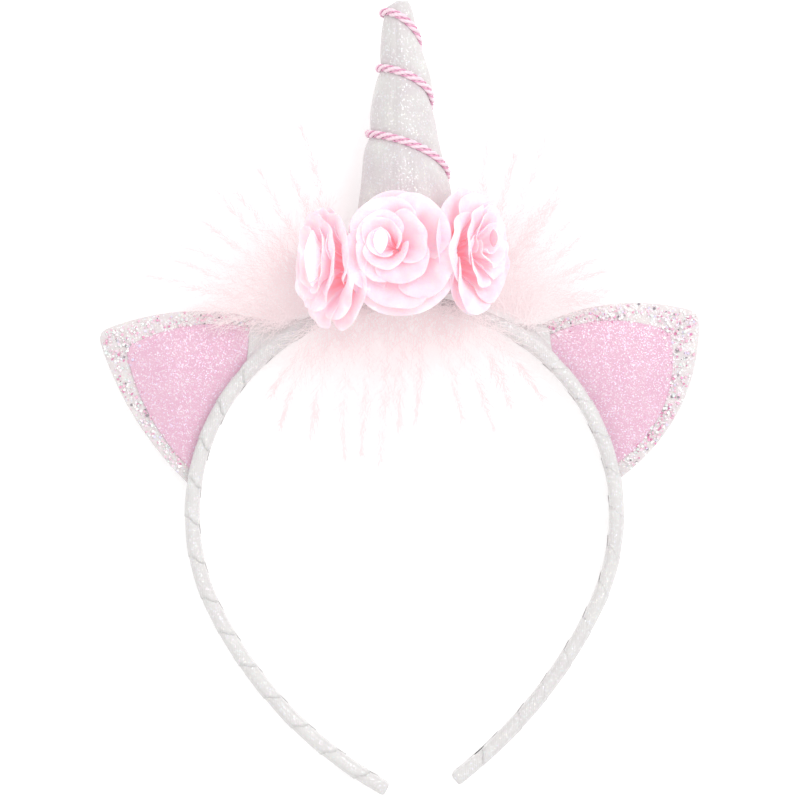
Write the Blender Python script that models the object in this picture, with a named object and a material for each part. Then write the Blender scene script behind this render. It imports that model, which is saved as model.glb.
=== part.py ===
"""Unicorn horn headband, lying on its back. Metres; +X right, +Y from band tips to horn tip, +Z front."""
import bpy
import bmesh
from math import atan2, cos, degrees, exp, pi, radians, sin
from mathutils import Matrix, Vector

# Driving sizes of the band
CROWN_RADIUS = 0.0604        # middle of the band's thickness
CROWN_DROP = radians(26)     # how far the crown's arc runs on below its centre
LEG_RADIUS = {"left": 0.118, "right": 0.138}
LEG_LENGTH = {"left": 0.0725, "right": 0.0636}
BAND_WIDTH = 0.010           # front to back
BAND_THICKNESS = 0.0034
BAND_CORNER = 0.0009
LAP_PITCH = 0.0112           # from one ribbon lap to the next
LAP_HEIGHT = 0.00035
LAP_SLANT = 0.0045           # how far a lap's seam moves along the band from back to front
LAP_ROWS = (0.0, 0.45, 0.93) # stations within one lap, as shares of the pitch
TIP_ROUNDING = 0.0012

# Clearances
PIECE_GAP = 0.0003           # between pieces that touch on the real thing
REST_GAP = 0.0002            # between the horn's back and the surface

# Driving sizes of the ears
EAR_SHEET = 0.0012
PANEL_SHEET = 0.0009
RIM_SHEET = 0.0014
RIM_WIDTH = 0.0044
EAR_TIP_CUT = 0.0034         # where the rounding of the ear's tip starts
EARS = {
    # angles round the crown where the ear's base starts at the top and ends at the side, and of its tip
    "left": {"top": 121.0, "side": 172.0, "tip": 149.3,
             "height": 0.0388, "top_bow": 0.0045, "side_bow": 0.0034},
    "right": {"top": 56.5, "side": 9.5, "tip": 34.6,
              "height": 0.0390, "top_bow": 0.0040, "side_bow": 0.0064},
}
EAR_SIDE_POINTS = 8
EAR_BASE_POINTS = 8
EAR_TIP_POINTS = 3

# Driving sizes of the horn and its cord
HORN_HEIGHT = 0.0828
HORN_RADIUS = 0.0148
HORN_SIDES = 20
HORN_STEPS = 34
HORN_ROWS = (
    # share of the height, share of the radius, sideways shift as a share of the radius
    (0.00, 1.00, -0.03),
    (0.20, 0.95, -0.02),
    (0.37, 0.86, 0.01),
    (0.50, 0.73, -0.03),
    (0.62, 0.61, -0.05),
    (0.72, 0.54, -0.02),
    (0.82, 0.42, -0.06),
    (0.93, 0.31, -0.11),
    (0.98, 0.255, -0.13),
    (1.00, 0.16, -0.13),
)
CORD_WIDTH = 0.0028
CORD_THICKNESS = 0.0017
CORD_GAP = 0.00045           # between the cord and the horn, along the cord's middle
CORD_START = -0.40           # in turns from where the cord first passes the horn's front
CORD_END = 2.40
CORD_FRONT_HEIGHT = 0.0429   # height of that first pass above the horn's foot
CORD_PITCH = 0.0206
CORD_TIGHTENING = 0.0014     # how much closer the turns come with each turn
CORD_ARCH = 0.0028           # how far each pass rises at the front
CORD_SIDES = 6
CINCH_DEPTH = 0.0010
CINCH_WIDTH = 0.0034
CINCH_EASE = 0.25            # turns over which the cinching sets in at the cord's ends

# Driving sizes of the roses
PETAL_WALL = 0.0010
MIDDLE_ROSE = 91.5           # where it sits round the horn, in degrees, 90 being the front
ROSE_SPACING = 1.5           # free angle between neighbouring roses, in degrees
ROSES = {
    # way round the horn from the middle rose, height above the horn's foot, sizes, turn on its own axis
    "middle": {"way": 0, "above": 0.0114, "radius": 0.0158, "depth": 0.0138, "roll": 20.0},
    "left": {"way": 1, "above": 0.0066, "radius": 0.0155, "depth": 0.0164, "roll": 75.0},
    "right": {"way": -1, "above": 0.0106, "radius": 0.0163, "depth": 0.0158, "roll": -30.0},
}
ROSE_RINGS = (
    # node, petals, share of the radius, share of the depth, points for each petal
    ("outer_petals", 5, 1.00, 0.88, 6),
    ("inner_petals", 4, 0.66, 0.96, 6),
    ("heart", 3, 0.36, 1.00, 6),
)
PETAL_ROWS = (
    # share of the ring's depth, share of its radius
    (0.00, 0.20),
    (0.16, 0.47),
    (0.48, 0.73),
    (0.80, 0.86),
    (1.00, 1.00),
)
PETAL_LAP = 0.10             # how far a petal steps in under the next, as a share of the radius
RING_ROLL = 40.0             # how far each ring inside is turned on, in degrees
PETAL_DIP = 0.16             # how far the rim dips between petals, as a share of the depth

# Driving sizes of the feathers
BACKING_DEPTH = 0.0030
BACKING_LAP = 0.0010         # how much farther in the lower spray's backing reaches
BACKING_STEPS = 6
FEATHER_SIDE_LEVEL = 0.0098  # height of the side sprays above the surface
FEATHER_FRONT_CLEARANCE = 0.0014
LOCK_WIDTH = 0.0110
LOCK_THICKNESS = 0.0026
LOCK_LENGTH = 0.050
LOCK_SIDES = 6
LOCK_ROWS = (
    # share of the length, share of the width and thickness
    (0.00, 0.45),
    (0.30, 0.85),
    (0.62, 1.00),
    (0.88, 0.60),
    (1.00, 0.14),
)
SPRAYS = {
    "left": {"from": 105.5, "to": 118.5, "locks": (
        # root's angle round the crown, direction, share of the length, share of the width
        (107.0, 98.0, 1.00, 0.62),
        (108.5, 121.0, 0.82, 1.00),
        (111.0, 137.0, 0.84, 1.00),
        (113.0, 153.0, 0.80, 1.05),
        (115.5, 169.0, 0.90, 0.90),
        (117.0, 176.0, 0.58, 0.80),
    )},
    "right": {"from": 60.5, "to": 74.5, "locks": (
        (73.0, 82.0, 0.92, 0.62),
        (72.0, 62.0, 1.05, 0.90),
        (69.5, 50.0, 0.70, 1.00),
        (67.0, 37.0, 0.60, 1.00),
        (65.0, 22.0, 0.62, 0.95),
        (62.5, 11.0, 0.56, 0.80),
    )},
    "lower": {"from": 66.0, "to": 114.0, "locks": (
        (112.0, 244.0, 0.68, 0.95),
        (104.0, 262.0, 0.84, 1.00),
        (95.0, 270.0, 0.95, 0.95),
        (86.0, 272.0, 0.70, 0.95),
        (77.0, 288.0, 0.72, 1.00),
        (69.0, 308.0, 0.58, 0.95),
    )},
}


def clear_scene():
    for item in list(bpy.data.objects):
        bpy.data.objects.remove(item)


def make_material(name, colour, roughness, metallic=0.0):
    material = bpy.data.materials.new(name)
    material.use_nodes = True
    shader = material.node_tree.nodes["Principled BSDF"]
    shader.inputs["Base Color"].default_value = (*colour, 1.0)
    shader.inputs["Roughness"].default_value = roughness
    shader.inputs["Metallic"].default_value = metallic
    return material


def add_piece(name, bm, material, parent, smooth_angle=40.0):
    bmesh.ops.recalc_face_normals(bm, faces=bm.faces)
    mesh = bpy.data.meshes.new(name)
    bm.to_mesh(mesh)
    bm.free()
    mesh.materials.append(material)
    mesh.shade_smooth()
    mesh.set_sharp_from_angle(angle=radians(smooth_angle))
    piece = bpy.data.objects.new(name, mesh)
    bpy.context.scene.collection.objects.link(piece)
    piece.parent = parent
    return piece


def skin_rings(rings):
    """A closed body through rings of as many points each, with a fan at each end."""
    bm = bmesh.new()
    rows = [[bm.verts.new(point) for point in ring] for ring in rings]
    count = len(rows[0])
    for lower, upper in zip(rows, rows[1:]):
        for i in range(count):
            j = (i + 1) % count
            bm.faces.new((lower[i], lower[j], upper[j], upper[i]))
    for row in (rows[0], rows[-1]):
        middle = bm.verts.new(sum((v.co for v in row), Vector()) / count)
        for i in range(count):
            bm.faces.new((row[i], row[(i + 1) % count], middle))
    return bm


def plate(outline, bottom, thickness):
    """A flat plate of a closed outline of (x, y) points."""
    bm = bmesh.new()
    face = bm.faces.new([bm.verts.new((x, y, bottom)) for x, y in outline])
    raised = bmesh.ops.extrude_face_region(bm, geom=[face])["geom"]
    verts = [item for item in raised if isinstance(item, bmesh.types.BMVert)]
    bmesh.ops.translate(bm, verts=verts, vec=(0, 0, thickness))
    return bm


def table_value(rows, share, column):
    """A column of a table at a share between its rows."""
    for low, high in zip(rows, rows[1:]):
        if share <= high[0]:
            t = (share - low[0]) / (high[0] - low[0])
            return low[column] + (high[column] - low[column]) * t
    return rows[-1][column]


def on_circle(radius, angle):
    """A point round the crown's centre, at an angle in degrees."""
    return Vector((radius * cos(radians(angle)), radius * sin(radians(angle))))


# The band's line: left leg, crown and right leg, each an arc that starts where the last ends
def band_arcs():
    left_end = pi + CROWN_DROP
    right_end = -CROWN_DROP
    arcs = []
    turn = LEG_LENGTH["left"] / LEG_RADIUS["left"]
    centre = (CROWN_RADIUS - LEG_RADIUS["left"]) * Vector((cos(left_end), sin(left_end)))
    arcs.append((centre, LEG_RADIUS["left"], left_end + turn, left_end))
    arcs.append((Vector((0, 0)), CROWN_RADIUS, left_end, right_end))
    turn = LEG_LENGTH["right"] / LEG_RADIUS["right"]
    centre = (CROWN_RADIUS - LEG_RADIUS["right"]) * Vector((cos(right_end), sin(right_end)))
    arcs.append((centre, LEG_RADIUS["right"], right_end, right_end - turn))
    return arcs


def band_length():
    return sum(radius * (start - end) for _, radius, start, end in band_arcs())


def band_station(along):
    """The point of the band's line at a length from its left tip, and the way out from the head."""
    arcs = band_arcs()
    for centre, radius, start, end in arcs:
        length = radius * (start - end)
        if along <= length or (centre, radius, start, end) == arcs[-1]:
            angle = start - along / radius
            outward = Vector((cos(angle), sin(angle)))
            return centre + radius * outward, outward
        along -= length


def band_ring(along, half, margin):
    """One slanted section: half is half the thickness, margin pulls the edges in at the tips."""
    c = BAND_CORNER
    back = margin
    front = BAND_WIDTH - margin
    section = (
        (half, back + c), (half, front - c), (half - c, front), (c - half, front),
        (-half, front - c), (-half, back + c), (c - half, back), (half - c, back),
    )
    ring = []
    for out, level in section:
        slide = LAP_SLANT * (level / BAND_WIDTH - 0.5)
        point, outward = band_station(min(max(along + slide, 0.0), band_length()))
        point = point + outward * out
        ring.append(Vector((point.x, point.y, level)))
    return ring


def make_band(material, parent):
    length = band_length()
    half = BAND_THICKNESS / 2
    first = TIP_ROUNDING + LAP_SLANT / 2
    stations = []
    laps = int((length - 2 * first) / LAP_PITCH) + 1
    for lap in range(laps):
        for share in LAP_ROWS:
            along = first + (lap + share) * LAP_PITCH
            if along < length - first:
                stations.append((along, half + LAP_HEIGHT * (1 - share)))
    rings = [band_ring(along, thick, 0.0) for along, thick in stations]
    tip_half = half - BAND_CORNER * 0.5
    start = tip_ring(0.0, tip_half)
    end = tip_ring(length, tip_half)
    return add_piece("band", skin_rings([start] + rings + [end]), material, parent)


def tip_ring(along, half):
    """The rounded end: a thinner section, square across the band."""
    c = BAND_CORNER / 2
    low = TIP_ROUNDING
    high = BAND_WIDTH - TIP_ROUNDING
    section = (
        (half, low + c), (half, high - c), (half - c, high), (c - half, high),
        (-half, high - c), (-half, low + c), (c - half, low), (half - c, low),
    )
    point, outward = band_station(along)
    return [Vector((*(point + outward * out), level)) for out, level in section]


# The ears: flat sheets that stand on the band's outer face
def ear_base_radius():
    return CROWN_RADIUS + BAND_THICKNESS / 2 + LAP_HEIGHT + PIECE_GAP


def bowed(start, end, bow, count):
    """Points of a shallow curve from start to end, bowed to the left of the way."""
    way = end - start
    aside = Vector((-way.y, way.x)).normalized()
    points = []
    for i in range(count + 1):
        t = i / count
        points.append(start + way * t + aside * (bow * 4 * t * (1 - t)))
    return points


def ear_sides(ear, side, inset):
    """The two free edges as one line, from the base at the top round the tip to the base at the side."""
    base = ear_base_radius()
    turn = -1.0 if side == "right" else 1.0
    step = turn * inset / base * 180 / pi
    top = on_circle(base, ear["top"] + step)
    low = on_circle(base, ear["side"] - step)
    tip = on_circle(base + ear["height"], ear["tip"])
    opening = (top - tip).angle(low - tip) / 2
    middle = ((top - tip).normalized() + (low - tip).normalized()).normalized()
    tip = tip + middle * (inset / sin(opening))
    shrink = 1.0 - inset / ear["height"]
    upper = bowed(top, tip, -turn * ear["top_bow"] * shrink, EAR_SIDE_POINTS)
    lower = bowed(tip, low, -turn * ear["side_bow"] * shrink, EAR_SIDE_POINTS)
    cut = EAR_TIP_CUT * shrink
    start = upper[-2] + (tip - upper[-2]) * max(0.0, 1 - cut / (tip - upper[-2]).length)
    end = lower[1] + (tip - lower[1]) * max(0.0, 1 - cut / (tip - lower[1]).length)
    rounding = []
    for i in range(EAR_TIP_POINTS + 1):
        t = i / EAR_TIP_POINTS
        rounding.append(start * (1 - t) ** 2 + tip * 2 * t * (1 - t) + end * t ** 2)
    return upper[:-1] + rounding + lower[1:]


def ear_outline(ear, side, inset):
    """The free edges, closed by an arc along the band."""
    edge = ear_sides(ear, side, inset)
    base = ear_base_radius()
    start = atan2(edge[-1].y, edge[-1].x)
    end = atan2(edge[0].y, edge[0].x)
    arc = []
    for i in range(1, EAR_BASE_POINTS):
        angle = start + (end - start) * i / EAR_BASE_POINTS
        arc.append(base * Vector((cos(angle), sin(angle))))
    return edge + arc


def ear_floor():
    return (BAND_WIDTH - EAR_SHEET - PIECE_GAP - RIM_SHEET) / 2


def make_ear(side, materials, parent):
    ear = EARS[side]
    face = ear_floor() + EAR_SHEET + PIECE_GAP
    back = plate(ear_outline(ear, side, 0.0), ear_floor(), EAR_SHEET)
    add_piece("ear_back_" + side, back, materials["glitter"], parent)
    panel = plate(ear_outline(ear, side, RIM_WIDTH + PIECE_GAP), face, PANEL_SHEET)
    add_piece("ear_panel_" + side, panel, materials["panel"], parent)
    outer = ear_sides(ear, side, 0.0)
    inner = ear_sides(ear, side, RIM_WIDTH)
    rings = []
    for out, into in zip(outer, inner):
        ring = [Vector((*out, face)), Vector((*out, face + RIM_SHEET))]
        ring += [Vector((*into, face + RIM_SHEET)), Vector((*into, face))]
        rings.append(ring)
    add_piece("ear_rim_" + side, skin_rings(rings), materials["flecks"], parent)


# The horn: a stuffed cone, pulled in along the cord's line
def horn_foot():
    return CROWN_RADIUS + BAND_THICKNESS / 2 + LAP_HEIGHT + PIECE_GAP


def horn_level():
    return max(HORN_RADIUS + REST_GAP, BAND_WIDTH / 2)


def horn_axis(height):
    shift = table_value(HORN_ROWS, height / HORN_HEIGHT, 2) * HORN_RADIUS
    return Vector((shift, horn_foot() + height, horn_level()))


def cord_angle(turn):
    """Angle round the horn, 0 at the right and a quarter turn at the front."""
    return 2 * pi * (turn + 0.25)


def cord_height(turn):
    rise = CORD_PITCH * turn - CORD_TIGHTENING * turn ** 2
    return CORD_FRONT_HEIGHT + rise - CORD_ARCH * (1 - sin(cord_angle(turn)))


def cinch_share(height, angle):
    """How hard the nearest pass of the cord pulls the cloth in, from 0 to 1."""
    hardest = 0.0
    turn = (angle / (2 * pi)) % 1.0 - 1.25
    while turn < CORD_END:
        ease = min((turn - CORD_START) / CINCH_EASE, (CORD_END - turn) / CINCH_EASE, 1.0)
        away = (height - cord_height(turn)) / CINCH_WIDTH
        hardest = max(hardest, ease * exp(-away ** 2))
        turn += 1.0
    return hardest


def horn_radius(height, angle):
    full = HORN_RADIUS * table_value(HORN_ROWS, height / HORN_HEIGHT, 1)
    return full - CINCH_DEPTH * cinch_share(height, angle) * min(full / HORN_RADIUS * 2, 1.0)


def horn_point(height, angle, out=0.0):
    radius = horn_radius(height, angle) + out
    return horn_axis(height) + Vector((radius * cos(angle), 0, radius * sin(angle)))


def make_horn(material, parent):
    rings = []
    for step in range(HORN_STEPS + 1):
        height = HORN_HEIGHT * step / HORN_STEPS
        rings.append([horn_point(height, 2 * pi * i / HORN_SIDES) for i in range(HORN_SIDES)])
    return add_piece("horn", skin_rings(rings), material, parent, 60.0)


def make_cord(material, parent):
    """A flattened cord, wound upwards round the horn."""
    rings = []
    steps = round((CORD_END - CORD_START) * HORN_SIDES)
    for step in range(steps + 1):
        turn = CORD_START + step / HORN_SIDES
        angle = cord_angle(turn)
        height = cord_height(turn)
        middle = horn_point(height, angle, CORD_GAP + CORD_THICKNESS / 2)
        outward = Vector((cos(angle), 0, sin(angle)))
        ring = []
        for i in range(CORD_SIDES):
            around = 2 * pi * i / CORD_SIDES
            across = Vector((0, cos(around) * CORD_WIDTH / 2, 0))
            ring.append(middle + across + outward * (sin(around) * CORD_THICKNESS / 2))
        rings.append(ring)
    return add_piece("horn_cord", skin_rings(rings), material, parent, 60.0)


# The roses: nested cups of lapped petals, each rose on the horn's surface and facing away from it
def petal_ring(petals, radius, depth, floor, points):
    """A cup round +Z whose wall steps in under each next petal and dips between petals."""
    count = petals * points
    outside = [(floor + rise * depth, out * radius, rise) for rise, out in PETAL_ROWS]
    inside = [(height + PETAL_WALL * (1 - rise), out - PETAL_WALL, rise)
              for height, out, rise in reversed(outside)]
    rings = []
    for height, out, rise in outside + inside:
        ring = []
        for i in range(count):
            share = (i % points) / points
            lap = 1 - PETAL_LAP * rise * (1 - share)
            dip = 1 - PETAL_DIP * rise * abs(2 * share - 1) ** 2
            angle = 2 * pi * i / count
            level = floor + (height - floor) * dip
            ring.append(Vector((out * lap * cos(angle), out * lap * sin(angle), level)))
        rings.append(ring)
    return skin_rings(rings)


def rose_reach(side):
    """Half the angle that a rose's rim takes up, seen from the horn's axis."""
    rose = ROSES[side]
    rim = HORN_RADIUS + rose["depth"] * ROSE_RINGS[0][3]
    return degrees(atan2(rose["radius"], rim))


def rose_angle(side):
    way = ROSES[side]["way"]
    return radians(MIDDLE_ROSE + way * (rose_reach("middle") + rose_reach(side) + ROSE_SPACING))


def make_rose(side, material, parent):
    rose = ROSES[side]
    angle = rose_angle(side)
    seat = horn_point(rose["above"], angle, PIECE_GAP)
    facing = Vector((cos(angle), 0, sin(angle)))
    turn = facing.to_track_quat("Z", "Y").to_matrix()
    floor = 0.0
    for row, (node, petals, wide, deep, points) in enumerate(ROSE_RINGS):
        depth = rose["depth"] * deep - floor
        bm = petal_ring(petals, rose["radius"] * wide, depth, floor, points)
        piece = add_piece("rose_" + side + "_" + node, bm, material, parent, 60.0)
        piece.location = seat
        roll = Matrix.Rotation(radians(rose["roll"] + RING_ROLL * row), 3, "Z")
        piece.rotation_euler = (turn @ roll).to_euler()
        floor += PETAL_WALL + PIECE_GAP


# The feathers: flat tapering locks fused to a backing that follows the band
def lock_body(root, direction, length, width):
    along = Vector((cos(direction), sin(direction), 0))
    aside = Vector((-along.y, along.x, 0))
    rings = []
    for rise, wide in LOCK_ROWS:
        middle = root + along * (length * rise)
        half = width / 2 * wide
        thick = LOCK_THICKNESS / 2 * wide
        ring = []
        for i in range(LOCK_SIDES):
            around = 2 * pi * i / LOCK_SIDES
            ring.append(middle + aside * (half * cos(around)) + Vector((0, 0, thick * sin(around))))
        rings.append(ring)
    return skin_rings(rings)


def backing_body(inner, outer, start, end, low, high):
    rings = []
    for i in range(BACKING_STEPS + 1):
        angle = start + (end - start) * i / BACKING_STEPS
        near = on_circle(inner, angle)
        far = on_circle(outer, angle)
        corners = ((near, low), (far, low), (far, high), (near, high))
        rings.append([Vector((*place, level)) for place, level in corners])
    return skin_rings(rings)


def fuse(body, others):
    """Unite other bodies with the first and remove them."""
    for other in others:
        union = body.modifiers.new("fuse", "BOOLEAN")
        union.operation = "UNION"
        union.solver = "EXACT"
        union.object = other
    evaluated = body.evaluated_get(bpy.context.evaluated_depsgraph_get())
    mesh = bpy.data.meshes.new_from_object(evaluated)
    body.modifiers.clear()
    body.data = mesh
    for other in others:
        bpy.data.objects.remove(other)


def make_spray(side, material, parent):
    spray = SPRAYS[side]
    outside = CROWN_RADIUS + BAND_THICKNESS / 2 + LAP_HEIGHT
    if side == "lower":
        low = BAND_WIDTH + PIECE_GAP
        level = BAND_WIDTH + FEATHER_FRONT_CLEARANCE + LOCK_THICKNESS / 2
        inner = outside - BACKING_DEPTH - BACKING_LAP
        outer = outside - PIECE_GAP
    else:
        level = FEATHER_SIDE_LEVEL
        low = ear_floor()
        inner = outside + PIECE_GAP
        outer = inner + BACKING_DEPTH
    high = level + LOCK_THICKNESS / 2
    middle = (inner + outer) / 2
    body = add_piece("feathers_" + side, backing_body(inner, outer, spray["from"], spray["to"], low, high),
                     material, parent)
    locks = []
    for root, lean, long, wide in spray["locks"]:
        start = Vector((*on_circle(middle, root), level))
        bm = lock_body(start, radians(lean), LOCK_LENGTH * long, LOCK_WIDTH * wide)
        locks.append(add_piece("lock", bm, material, parent))
    fuse(body, locks)
    return body


def settle(parent):
    """Move the whole so that the middle of its foot is at the origin."""
    bpy.context.view_layer.update()
    corners = []
    for piece in parent.children:
        corners += [piece.matrix_world @ Vector(corner) for corner in piece.bound_box]
    low = [min(corner[i] for corner in corners) for i in range(3)]
    high = [max(corner[i] for corner in corners) for i in range(3)]
    parent.location = (-(low[0] + high[0]) / 2, -(low[1] + high[1]) / 2, -low[2])
    bpy.context.view_layer.update()


def main():
    clear_scene()
    materials = {
        "ribbon": make_material("white_glitter_ribbon", (0.86, 0.85, 0.85), 0.45),
        "glitter": make_material("white_glitter_fabric", (0.84, 0.84, 0.86), 0.4),
        "panel": make_material("pink_glitter_fabric", (0.85, 0.45, 0.62), 0.45),
        "flecks": make_material("chunky_glitter", (0.85, 0.80, 0.88), 0.3),
        "cord": make_material("pink_cord", (0.86, 0.42, 0.55), 0.4),
        "petals": make_material("pink_satin", (0.90, 0.62, 0.72), 0.5),
        "feathers": make_material("marabou", (0.90, 0.82, 0.82), 0.9),
    }
    headband = bpy.data.objects.new("headband", None)
    bpy.context.scene.collection.objects.link(headband)
    make_band(materials["ribbon"], headband)
    for side in EARS:
        make_ear(side, materials, headband)
    make_horn(materials["glitter"], headband)
    make_cord(materials["cord"], headband)
    for side in ROSES:
        make_rose(side, materials["petals"], headband)
    for side in SPRAYS:
        make_spray(side, materials["feathers"], headband)
    settle(headband)


main()
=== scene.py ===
from math import atan2, cos, degrees, exp, pi, radians, sin

import bmesh
import bpy
import numpy as np
from mathutils import Matrix, Vector, noise


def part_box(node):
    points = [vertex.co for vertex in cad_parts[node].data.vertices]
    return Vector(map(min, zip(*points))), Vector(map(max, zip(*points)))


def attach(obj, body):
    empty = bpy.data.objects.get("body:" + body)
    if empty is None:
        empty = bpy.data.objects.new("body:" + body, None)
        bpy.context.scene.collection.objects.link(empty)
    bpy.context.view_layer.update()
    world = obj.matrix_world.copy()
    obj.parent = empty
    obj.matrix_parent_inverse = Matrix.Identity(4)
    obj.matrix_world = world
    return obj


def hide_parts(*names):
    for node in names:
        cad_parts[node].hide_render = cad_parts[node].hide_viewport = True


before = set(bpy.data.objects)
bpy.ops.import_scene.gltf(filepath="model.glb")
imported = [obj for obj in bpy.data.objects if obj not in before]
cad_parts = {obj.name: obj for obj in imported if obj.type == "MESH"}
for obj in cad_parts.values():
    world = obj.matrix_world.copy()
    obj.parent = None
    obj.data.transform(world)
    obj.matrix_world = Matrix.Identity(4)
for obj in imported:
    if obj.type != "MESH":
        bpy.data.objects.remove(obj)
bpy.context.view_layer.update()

mm = 0.001
scene = bpy.context.scene

# the crown's arc, read from the band's own box
bandLow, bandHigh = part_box("band")
crown = {
    "outside": (bandHigh.x - bandLow.x) / 2,         # radius to the band's outer face
    "x": (bandHigh.x + bandLow.x) / 2,
}
crown["y"] = bandHigh.y - crown["outside"]
crownPlace = Vector((crown["x"], crown["y"], 0))


def onCrown(radius, angle):
    # the place round the crown's centre at an angle in degrees
    return crownPlace + Vector((radius * cos(radians(angle)), radius * sin(radians(angle)), 0))


def blendValue(rows, share, column):
    # a column of a short table, on a smooth curve through its rows
    last = len(rows) - 1
    i = min(max(sum(row[0] <= share for row in rows) - 1, 0), last - 1)
    before, low, high, after = (rows[min(max(k, 0), last)] for k in range(i - 1, i + 3))
    span = high[0] - low[0]
    t = min(max((share - low[0]) / span, 0.0), 1.0)
    leave = (high[column] - before[column]) / (high[0] - before[0]) * span
    arrive = (after[column] - low[column]) / (after[0] - low[0]) * span
    bend = (t - 2 * t * t + t ** 3) * leave + (t ** 3 - t * t) * arrive
    return low[column] + (high[column] - low[column]) * (3 * t * t - 2 * t ** 3) + bend


def unevenness(x, y, z):
    # a smooth value from about -1 to 1 that is the same on each run
    return noise.noise(Vector((x, y, z)))


# materials

def plug(socket, value):
    # a number, a colour or another node's output goes into a socket
    if isinstance(value, bpy.types.NodeSocket):
        socket.id_data.links.new(value, socket)
    elif socket.type == "RGBA":
        socket.default_value = (*value, 1.0)
    else:
        socket.default_value = value


def setNode(node, settings):
    # a setting with an input's name goes into that input, with _ for a space; any other is the node's own
    for name, value in settings.items():
        title = name.replace("_", " ")
        if title in node.inputs:
            plug(node.inputs[title], value)
        else:
            setattr(node, name, value)
    return node


def addNode(material, kind, **settings):
    return setNode(material.node_tree.nodes.new(kind), settings)


def setShader(material, **settings):
    setNode(material.node_tree.nodes["Principled BSDF"], settings)


def newMaterial(name, **settings):
    material = bpy.data.materials.new(name)
    material.use_nodes = True
    setShader(material, **settings)
    return material


def objectPlace(material):
    return addNode(material, "ShaderNodeTexCoord").outputs["Object"]


def cloudNode(material, scale, detail):
    return addNode(material, "ShaderNodeTexNoise", Vector=objectPlace(material), Scale=scale, Detail=detail)


def colourRamp(material, factor, stops, interpolation="LINEAR"):
    ramp = addNode(material, "ShaderNodeValToRGB", Fac=factor)
    ramp.color_ramp.interpolation = interpolation
    elements = ramp.color_ramp.elements
    while len(elements) < len(stops):
        elements.new(0.5)
    for element, (place, colour) in zip(elements, stops):
        element.position = place
        element.color = (*colour, 1.0)
    return ramp.outputs["Color"]


def mixColour(material, factor, first, second, blend="MIX"):
    mix = addNode(material, "ShaderNodeMix", data_type="RGBA", blend_type=blend)
    for place, value in ((0, factor), (6, first), (7, second)):
        plug(mix.inputs[place], value)
    return mix.outputs[2]


def rangeValue(material, value, low, high, toLow=0.0, toHigh=1.0):
    return addNode(material, "ShaderNodeMapRange", Value=value, From_Min=low, From_Max=high,
                   To_Min=toLow, To_Max=toHigh).outputs["Result"]


def calculate(material, kind, operation, *values):
    node = addNode(material, kind, operation=operation)
    for socket, value in zip(node.inputs, values):
        plug(socket, value)
    return node.outputs[0]


def bumpOn(material, height, strength, distance, under=None):
    # a bump, laid over another where one is given
    bump = addNode(material, "ShaderNodeBump", Height=height, Strength=strength, Distance=distance)
    if under is not None:
        plug(bump.inputs["Normal"], under)
    return bump.outputs["Normal"]


glitter = {
    # what the glitter cloths have in common
    "cloud": 22,                              # how broad the cloth's own shading is, in grains
    "edge": 0.04,                             # how softly the bright grains are told from the rest
    "metal": 0.15,
    "roughness": (0.5, 0.22),                 # of the cloth and of the bright grains
    "dullTilt": 0.25,                         # how far the other grains tilt, as a share of the bright ones
    "relief": 0.35,                           # height of the grains, as a share of their size
    "weaveRelief": 0.4,
}


def glitterMaterial(name, base, shade, tints, grain, share, tilt, weave=0.0):
    # cloth with grains of glitter: each cell is one grain with its own tilt and tint
    material = newMaterial(name, Sheen_Weight=0.25)
    cells = addNode(material, "ShaderNodeTexVoronoi", Vector=objectPlace(material), Scale=1.0 / grain)
    split = addNode(material, "ShaderNodeSeparateColor", Color=cells.outputs["Color"])
    cloud = cloudNode(material, 1.0 / (glitter["cloud"] * grain), 3.0).outputs["Fac"]
    cloth = mixColour(material, rangeValue(material, cloud, 0.3, 0.7), shade, base)
    # which cells are bright grains
    bright = rangeValue(material, split.outputs["Red"], 1.0 - share, 1.0 - share + glitter["edge"])
    tint = colourRamp(material, split.outputs["Green"], tints, "CONSTANT")
    # each grain lies at its own angle
    random = cells.outputs["Color"]
    centred = calculate(material, "ShaderNodeVectorMath", "SUBTRACT", random, (0.5, 0.5, 0.5))
    leaned = addNode(material, "ShaderNodeVectorMath", operation="SCALE", Vector=centred,
                     Scale=rangeValue(material, bright, 0.0, 1.0, tilt * glitter["dullTilt"], tilt))
    under = None
    if weave:
        threads = addNode(material, "ShaderNodeTexWave", Vector=objectPlace(material),
                          Scale=1.0 / weave / 6.0, Distortion=1.2)
        under = bumpOn(material, threads.outputs["Fac"], 0.25, grain * glitter["weaveRelief"])
    bump = bumpOn(material, cells.outputs["Distance"], 0.35, grain * glitter["relief"], under)
    total = calculate(material, "ShaderNodeVectorMath", "ADD", bump, leaned.outputs[0])
    setShader(
        material,
        Base_Color=mixColour(material, bright, cloth, tint),
        Roughness=rangeValue(material, bright, 0.0, 1.0, *glitter["roughness"]),
        Metallic=rangeValue(material, bright, 0.0, 1.0, 0.0, glitter["metal"]),
        Normal=calculate(material, "ShaderNodeVectorMath", "NORMALIZE", total),
    )
    return material


def fleckMaterial(name, tints):
    # loose hexagonal glitter: each fleck takes its tint from its own random number
    material = newMaterial(name, Roughness=0.3, Coat_Weight=0.4, Coat_Roughness=0.15)
    own = addNode(material, "ShaderNodeAttribute", attribute_name="fleck")
    tint = colourRamp(material, own.outputs["Fac"], tints, "CONSTANT")
    film = cloudNode(material, 900.0, 1.0)
    setShader(material, Base_Color=mixColour(material, 0.2, tint, film.outputs["Color"], "SOFT_LIGHT"),
              Metallic=rangeValue(material, film.outputs["Fac"], 0.3, 0.7, 0.0, 0.25))
    return material


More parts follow.
